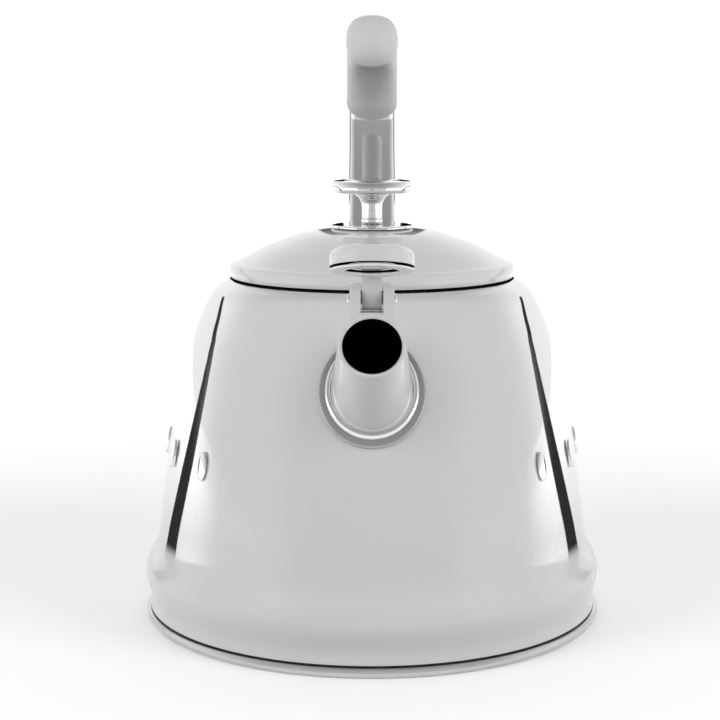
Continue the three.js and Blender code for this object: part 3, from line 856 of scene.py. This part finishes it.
def add_studs():
    for number, angle in enumerate(STUD_ANGLES, 1):
        add_stud("right", number, angle)
        add_stud("left", number, -angle)


# ------------------------------------------------------------------ lid and knob


def add_lid_dome():
    outside = evenly(relaxed(spline(LID_OUTLINE, 16), 4), 90)
    inside = inside_of(outside, 1.1)
    outline = [*outside, (2.7, 168.3), (2.7, 167.2), *inside]
    dome = turned("lid_dome_fine", outline, 256)
    stands_for(dome, LID, "enamel", "lid_dome")
    # Painted shade: the dome's downward faces are coloured black for the shadow under the lid.
    paint_shade(dome, lambda spot, facing: facing.z < 0 and spot.xy.length < 61.3)


def add_lid_liner():
    bottom, rest = 142, MOUTH_TOP + 1.5
    outline = rounded(
        [
            (2.7, bottom),
            (54.6, bottom, 1.5),
            (54.6, rest, 0.3),
            (59, rest, 0.3),
            (59, rest + 0.8, 0.3),
            (53.7, rest + 0.8, 0.6),
            (53.7, bottom + 0.9, 0.7),
            (2.7, bottom + 0.9),
        ]
    )
    stands_for(turned("lid_liner_fine", outline, 192), LID, "spun_steel", "lid_liner")


def add_lid_gasket():
    """A ring with two soft lips."""
    outline = rounded(
        [
            (54.95, 143.6, 0.2),
            (56.9, 144.6, 0.3),
            (56.0, 145.4, 0.2),
            (56.9, 146.2, 0.3),
            (54.95, 147.2, 0.2),
        ]
    )
    stands_for(turned("lid_gasket_fine", outline, 192), LID, "silicone", "lid_gasket")


def add_knob():
    rosette = rounded(
        [
            (2.7, 168.65),
            (17.8, 168.65, 0.25),
            (17.8, 169.5, 0.35),
            (16.2, 169.9, 0.8),
            (6, 170.05),
            (2.7, 170.05),
        ]
    )
    stands_for(turned("knob_rosette_fine", rosette, 128), LID, "chrome", "knob_rosette")
    shoulder = KNOB_BOTTOM - GAP
    flare = spline(
        [(4.35, 172.9), (4.35, 175.5), (4.38, 177.6), (4.75, 179.6), (6.0, 181.6), (7.8, shoulder)]
    )
    foot = rounded(
        [(2.4, 170.4), (4.5, 170.4, 0.2), (4.5, 172.2, 0.15), (4.05, 172.45, 0.1), (4.35, 172.75)]
    )
    post = [(0, 179.5), (2.4, 179.5), *foot, *flare[1:], (2.6, shoulder), (2.6, 187), (0, 187)]
    stands_for(turned("knob_post_fine", post, 96), LID, "chrome", "knob_post")
    edge = arc((KNOB_RADIUS - 2.75, KNOB_BOTTOM + 2.85), 2.75, -72, 62, 14)
    disc = [
        (0, 187.5),
        (3, 187.5),
        (3, KNOB_BOTTOM),
        (12, KNOB_BOTTOM),
        *edge,
        (14.6, 188.7),
        (13.9, 188.95),
        (9, KNOB_TOP - 0.1),
        (0, KNOB_TOP),
    ]
    stands_for(turned("knob_disc_fine", disc, 128), LID, "chrome", "knob_disc")


# ------------------------------------------------------------------ spout


def add_spout_tube():
    shrink = (SPOUT_ROOT_RADIUS - SPOUT_MOUTH_RADIUS) / SPOUT_LENGTH
    bore = SPOUT_BORE_RADIUS
    rim = [
        *arc((SPOUT_MOUTH_RADIUS - 0.35, SPOUT_LENGTH - 0.35), 0.35, 0, 90, 5),
        (bore + 0.5, SPOUT_LENGTH - 0.05),
        (bore + 0.35, SPOUT_LENGTH - 0.3),
        (bore, SPOUT_LENGTH - 0.6),
    ]
    inner = SPOUT_ROOT_RADIUS - 1.4
    outline = [
        (inner, -9),
        (SPOUT_ROOT_RADIUS, -9),
        (SPOUT_ROOT_RADIUS, 0),
        (SPOUT_ROOT_RADIUS - shrink * 22, 22),
        *rim,
        (inner - 0.05, 0),
    ]
    tube = turned("spout_tube_fine", outline, 128, SPOUT_PLACE)
    stands_for(tube, BODY, "enamel", "spout_tube")
    inwards = SPOUT_PLACE.inverted()
    turn = inwards.to_3x3()

    def in_bore(spot, facing):
        local = inwards @ spot
        return local.xy.dot((turn @ facing).xy) < 0 and local.z < SPOUT_LENGTH - 0.6

    # Painted shade: the spout's bore is coloured black for the shade inside it.
    paint_shade(tube, in_bore)


def ring_on_wall(name, section, steps=128):
    """A ring round the spout that follows the wall.

    Its section is a closed outline of (distance from the spout's axis, height off the wall)."""
    square = Vector((0, math.sin(SPOUT_LIFT), math.cos(SPOUT_LIFT)))
    rings = []
    for step in range(steps):
        angle = 2 * math.pi * step / steps
        ring = []
        for distance, away in section:
            above = distance * math.sin(angle)
            height = SPOUT_ROOT.z + above
            for _ in range(8):
                point = off_wall(distance * math.cos(angle), height, away, -1)
                height += above - (point - SPOUT_ROOT).dot(square)
            ring.append(point)
        rings.append(ring)
    return lofted(name, rings, closed_loop=True)


def add_spout_rings():
    inner, outer = SPOUT_ROOT_RADIUS + 0.1, FLANGE_RADIUS
    flange = rounded([(inner, 0.4, 0.2), (outer, 0.4, 0.3), (outer, 1.5, 0.6), (inner, 1.7, 0.3)], 4)
    # Painted reflection and shade: the flange takes the darkened copy of the steel.
    stands_for(ring_on_wall("spout_flange_fine", flange), BODY, "painted_shade_flange_steel", "spout_flange")
    bead = arc((SPOUT_ROOT_RADIUS + 0.95, 2.7), 1.2, 0, 337.5, 15)
    stands_for(ring_on_wall("spout_bead_fine", bead), BODY, "chrome", "spout_bead_ring")


def add_bracket():
    y, z = HINGE.y, HINGE.z
    side = [
        *arc((y, z), EAR_RADIUS, 0, 180, 24),
        (y - EAR_RADIUS - 0.7, z - 4),
        (y - EAR_RADIUS - 0.7, z - 16),
        (y + 9.5, z - 22),
        (y + 9.5, z - 10),
    ]
    block = slab("bracket_fine", side, 2 * EAR_OUTSIDE)
    slot_floor = z - 4.5
    slot_side = [(y + 12, slot_floor), (y + 12, z + 12), (y - 12, z + 12), (y - 12, slot_floor)]
    slot = slab("slot", slot_side, 2 * SLOT_HALF)
    root, mouth = SPOUT_ROOT_RADIUS + GAP, SPOUT_MOUTH_RADIUS + GAP
    grown = [(0, 0), (root, 0), (mouth, SPOUT_LENGTH), (0, SPOUT_LENGTH)]
    spout = turned("spout_room", grown, 128, SPOUT_PLACE)
    hole = rod("pin_room", PIN_HOLE_RADIUS, -15, 15, Matrix.Translation(HINGE) @ ACROSS)
    bracket = bevelled(cut(block, slot, spout, hole), 0.45)
    stands_for(bracket, BODY, "enamel", "whistle_bracket")

    def in_slot(spot, facing):
        return abs(spot.x) < SLOT_HALF + 0.1 and spot.z > slot_floor - 0.1 and spot.x * facing.x < 0

    # Painted shade: the slot's inner sides are coloured black for the shade in the slot.
    paint_shade(bracket, in_slot)


def add_hinge_pin():
    half = EAR_OUTSIDE + 1
    ends = [*arc((1.4, 0.6 - half), 0.6, -90, 0, 4), *arc((1.4, half - 0.6), 0.6, 0, 90, 4)]
    outline = [(0, -half), *ends, (0, half)]
    pin = turned("hinge_pin_fine", outline, 64, Matrix.Translation(HINGE) @ ACROSS)
    stands_for(pin, BODY, "chrome", "hinge_pin")


# ------------------------------------------------------------------ whistle cap


def add_cap_shell():
    inner = CAP_TOP - 1.6
    near, far, low = CAP_RADIUS - 1.5, CAP_RADIUS, CAP_SHELL_BOTTOM
    rim = rounded([(near, 2.6), (near, low, 0.3), (far, low, 0.3), (far, 2.6)])
    outline = [
        (0, inner),
        (7, inner),
        *arc((CAP_RADIUS - 4.4, inner - 2.9), 2.9, 80, 0, 8),
        *rim[1:-1],
        *arc((CAP_RADIUS - 3.4, CAP_TOP - 3.5), 3.4, 0, 80, 14),
        (8, CAP_TOP - 0.05),
        (7.8, CAP_TOP),
        (0, CAP_TOP),
    ]
    shell = turned("cap_shell_fine", outline, 128)
    place = Matrix.Translation((0, CAP_RADIUS, CAP_SCREW_HEIGHT)) @ ALONG
    shell = cut(shell, rod("screw_room", CAP_SCREW_HOLE_RADIUS, -5, 5, place))
    stands_for(shell, CAP, "cap_plastic", "cap_shell")

    def in_recess(spot, facing):
        return spot.z < inner + 0.2 and (facing.z < -0.8 or spot.xy.dot(facing.xy) < 0)

    # Painted shade: the recess under the cap is coloured black for the shade in it.
    paint_shade(shell, in_recess)
    place_on_cap(shell)


def place_on_cap(piece):
    """Moves a piece made about the cap's centre to its place on the open cap."""
    metres = CAP_PLACE.copy()
    metres.translation = metres.translation * MM
    piece.data.transform(metres)


def add_cap_turnings():
    bore = 9.9
    edge = CAP_RADIUS - 0.02
    ring = rounded([(bore, 0, 0.2), (edge, 0, 0.3), (edge, 0.8, 0.3), (bore, 0.8, 0.2)])
    # Painted light: the ring takes the lightened copy of the cap plastic.
    stands_for(turned("cap_ring_fine", ring, 128, CAP_PLACE), CAP, "painted_light_ring_plastic", "cap_ring")
    cup = rounded(
        [
            (1.6, 1.6, 0.2),
            (9.5, 1.6, 0.6),
            (9.5, 5.6, 0.2),
            (8.8, 5.6, 0.2),
            (8.8, 2.4, 0.4),
            (1.6, 2.4, 0.2),
        ]
    )
    stands_for(turned("whistle_cup_fine", cup, 96, CAP_PLACE), CAP, "chrome", "whistle_cup")
    low = CAP_TOP + GAP
    disc = rounded(
        [(0, low), (7.6, low, 0.2), (7.6, low + 0.6, 0.3), (7, low + 0.75, 0.3), (0, low + 0.8)]
    )
    stands_for(turned("cap_disc_fine", disc, 96, CAP_PLACE), CAP, "chrome", "cap_disc")
    plate = rounded([(1.6, 4.2, 0.2), (8.4, 4.2, 0.2), (8.4, 4.9, 0.2), (1.6, 4.9, 0.2)])
    stands_for(turned("whistle_plate_fine", plate, 96, CAP_PLACE), CAP, "spun_steel", "whistle_plate")


def add_cap_arm():
    eye = (CAP_HINGE_BACK, -CAP_HINGE_DOWN)
    side = [
        *arc(eye, 4.1, -125, 35, 20),
        (CAP_HINGE_BACK - 1.2, 1),
        (CAP_HINGE_BACK - 1.6, 7.6),
        (14, 7.6),
        (14, -0.6),
        (16.6, -4.4),
    ]
    arm = slab("cap_arm_fine", side, 7.5)
    cap_room = rod("cap_room", CAP_RADIUS + 0.5, -20, 20, segments=128)
    pin_room = rod("pin_room", PIN_HOLE_RADIUS, -6, 6, Matrix.Translation((0, *eye)) @ ACROSS)
    place = Matrix.Translation((0, 18, CAP_SCREW_HEIGHT)) @ ALONG
    screw_room = rod("screw_room", CAP_SCREW_HOLE_RADIUS, -8, 8, place)
    arm = bevelled(cut(arm, cap_room, pin_room, screw_room), 0.4)
    place_on_cap(arm)
    stands_for(arm, CAP, "cap_plastic", "cap_arm")


def screw_outline(head_radius, head_height, shank_radius, length, drive=1.2):
    """A domed screw head with a round socket in it, then its shank."""
    return [
        (0, head_height * 0.6),
        (drive, head_height * 0.6),
        (drive, 0.1),
        *arc((head_radius - 0.6, 0.7), 0.6, -90, 0, 5),
        (head_radius, head_height),
        (shank_radius, head_height),
        (shank_radius, length),
        (0, length),
    ]


def add_cap_screw():
    place = CAP_PLACE @ Matrix.Translation((0, CAP_HINGE_BACK + 0.2, CAP_SCREW_HEIGHT)) @ ALONG
    screw = turned("cap_screw_fine", screw_outline(2, 1.2, 0.95, 8.2, 0.9), 64, place)
    stands_for(screw, CAP, "steel", "cap_screw")


# ------------------------------------------------------------------ handle

FOOT_LINE = [off_wall(0, height, FOOT_OFF_WALL, 1) for height in FOOT_HEIGHTS]
HANDLE_CURVE = evenly(relaxed(spline([*FOOT_LINE, *((0, y, z) for y, z in HANDLE_LINE)], 24), 40), 600)


def at_share(share):
    """A point on the handle's line and its direction there."""
    last = len(HANDLE_CURVE) - 1
    i = min(max(int(share * last), 0), last - 1)
    here = HANDLE_CURVE[i].lerp(HANDLE_CURVE[i + 1], share * last - i)
    ahead = HANDLE_CURVE[min(i + 4, last)] - HANDLE_CURVE[max(i - 3, 0)]
    return here, ahead.normalized()


def share_at_height(height):
    step = next(i for i, point in enumerate(HANDLE_CURVE) if point.z >= height)
    return step / (len(HANDLE_CURVE) - 1)


def section_ring(share, half_width, half_thickness, power, around):
    """A rounded rectangle square to the handle's line, squarer with a higher power."""
    centre, along = at_share(share)
    ring = []
    for step in range(around):
        angle = 2 * math.pi * step / around
        cos, sin = math.cos(angle), math.sin(angle)
        across = half_width * math.copysign(abs(cos) ** (2 / power), cos)
        off = half_thickness * math.copysign(abs(sin) ** (2 / power), sin)
        ring.append((across, centre.y - off * along.z, centre.z + off * along.y))
    return ring


def strap_ring(share, half_width, half_thickness, radius, steps=9):
    """A rectangle with round corners, square to the handle's line."""
    centre, along = at_share(share)
    ring = []
    for corner, (side, up) in enumerate(((1, 1), (-1, 1), (-1, -1), (1, -1))):
        middle = (side * (half_width - radius), up * (half_thickness - radius))
        for across, off in arc(middle, radius, 90 * corner, 90 * corner + 90, steps):
            ring.append((across, centre.y - off * along.z, centre.z + off * along.y))
    return ring


def add_stem():
    """A chromed strap that narrows upwards, with a narrower tang inside the grip."""
    start, end = share_at_height(224), 0.94
    rings = [[at_share(0)[0]]]
    for i, size in enumerate((0.35, 0.7, 0.9, 1.0)):
        half_width = STEM_HALF_WIDTH * (0.88 + 0.12 * size)
        rings.append(strap_ring(0.0006 * i, half_width, STEM_HALF_THICKNESS * size, STEM_CORNER * size))
    for i in range(1, 61):
        half_width = STEM_HALF_WIDTH - STEM_TAPER * i / 60
        rings.append(strap_ring(start * i / 60, half_width, STEM_HALF_THICKNESS, STEM_CORNER))
    for i in range(41):
        share = start + (end - start) * i / 40 + 0.0005
        rings.append(strap_ring(share, TANG_HALF_WIDTH, TANG_HALF_THICKNESS, 1))
    rings.append([at_share(end + 0.001)[0]])
    stem = lofted("handle_stem_fine", rings)
    holes = [rod("hole", BOLT_HOLE_RADIUS, -14, 14, through_back(height)) for height in BOLT_HEIGHTS]
    stands_for(cut(stem, *holes), BODY, "chrome", "handle_stem")


def add_grip():
    start = share_at_height(212.5)
    dome = 0.065
    shares = [0.0, 0.0004, 0.0015, 0.004, 0.008, 0.014, 0.022, 0.032, 0.044, dome]
    shares += [dome + (1 - 2 * dome) * i / 70 for i in range(1, 70)]
    shares += [1 - share for share in shares[9::-1]]
    rings = []
    for along in shares:
        width = GRIP_BACK_WIDTH + (GRIP_FRONT_WIDTH - GRIP_BACK_WIDTH) * along
        opened = min(along, 1 - along, dome) / dome
        size = math.sqrt(opened * (2 - opened))
        share = start + (1 - start) * along
        if size == 0:
            rings.append([at_share(share)[0]])
        else:
            rings.append(section_ring(share, width / 2 * size, GRIP_HEIGHT / 2 * size, 2.5, 64))
    stands_for(lofted("handle_grip_fine", rings), BODY, "grip_plastic", "handle_grip")


def add_bolts():
    head = 2.4
    start = FOOT_OFF_WALL + STEM_HALF_THICKNESS + GAP + head
    for name, height in zip(("lower", "upper"), BOLT_HEIGHTS):
        place = through_back(height) @ Matrix.Translation((0, 0, -start))
        outline = screw_outline(4.2, head, 2, start + 7.4, 1.9)
        bolt = turned(f"handle_bolt_{name}_fine", outline, 64, place)
        stands_for(bolt, BODY, "chrome", f"handle_bolt_{name}")


# ------------------------------------------------------------------ plain pieces kept from the CAD

KEPT = {
    "heat_spreader_disc": "aluminium",
    "spout_seal": "silicone",
    "spout_lock_ring": "steel",
    "knob_washer": "steel",
    "knob_screw": "steel",
    "handle_seal": "silicone",
    "handle_backing_plate": "steel",
    "handle_nut_lower": "steel",
    "handle_nut_upper": "steel",
    "grip_screw_rear": "steel",
    "grip_screw_front": "steel",
}


def finish_kept_nodes():
    for node, finish in KEPT.items():
        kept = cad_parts[node]
        kept.data.materials.clear()
        kept.data.materials.append(finishes[finish])


# ------------------------------------------------------------------ build

finishes = make_finishes()
add_body_shell()
add_base_pan()
add_neck_ring()
add_studs()
add_lid_dome()
add_lid_liner()
add_lid_gasket()
add_knob()
add_spout_tube()
add_spout_rings()
add_bracket()
add_hinge_pin()
add_cap_shell()
add_cap_turnings()
add_cap_arm()
add_cap_screw()
add_stem()
add_grip()
add_bolts()
finish_kept_nodes()
add_studio()
add_stripe_card(-1)
add_stripe_card(1)
add_grip_shade()
add_stem_cards()
add_grey_card()
add_camera()
